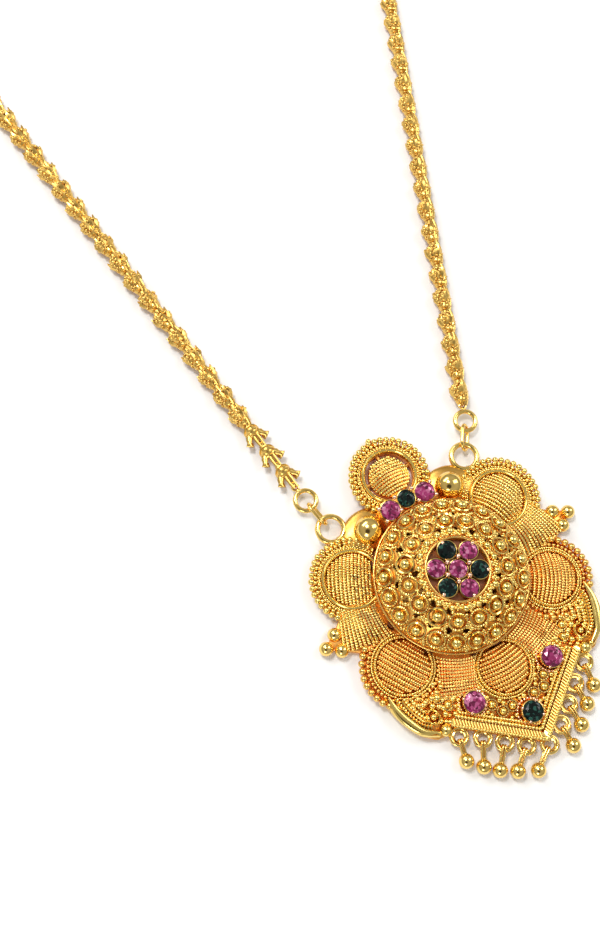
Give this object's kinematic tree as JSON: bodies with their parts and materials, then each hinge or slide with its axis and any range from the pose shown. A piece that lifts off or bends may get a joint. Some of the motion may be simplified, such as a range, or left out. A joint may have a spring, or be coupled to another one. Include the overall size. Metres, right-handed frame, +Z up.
{
  "type": "mangalsutra necklace",
  "caption": "Gold bridal necklace: domed, petalled pendant with pink and green stones and bead drops on a loop of flower-bud links.",
  "frame": {"origin": "on the surface that the necklace lies on, under the middle of its bounding box", "axes": "+X across the pendant to its right, +Y from the pendant along the loop towards the hook, +Z up from the surface"},
  "size_m": [0.1246, 0.2958, 0.0085],
  "materials": {
    "gold": "polished yellow gold plate with dull crevices",
    "pink_glass": "cut glass stone",
    "green_glass": "cut glass stone"
  },
  "bodies": {
    "root": {"pendant_body": "gold", "stone_centre": "pink_glass", "stone_ring_1": "green_glass", "stone_ring_2": "pink_glass", "stone_ring_3": "green_glass", "stone_ring_4": "pink_glass", "stone_ring_5": "green_glass", "stone_ring_6": "pink_glass", "stone_top_left": "pink_glass", "stone_top_middle": "green_glass", "stone_top_right": "pink_glass", "stone_lower_left": "pink_glass", "stone_lower_right": "pink_glass", "stone_tip": "green_glass", "drop_1": "gold", "drop_2": "gold", "drop_3": "gold", "drop_4": "gold", "drop_5": "gold", "drop_6": "gold", "drop_7": "gold", "drop_8": "gold", "drop_9": "gold", "jump_link_left": "gold", "jump_link_right": "gold", "end_ring_left": "gold", "end_ring_right": "gold", "chain_left": "gold", "chain_right": "gold", "clasp_ring_left": "gold", "clasp_ring_right": "gold", "clasp_hook": "gold"}
  },
  "joints": []
}
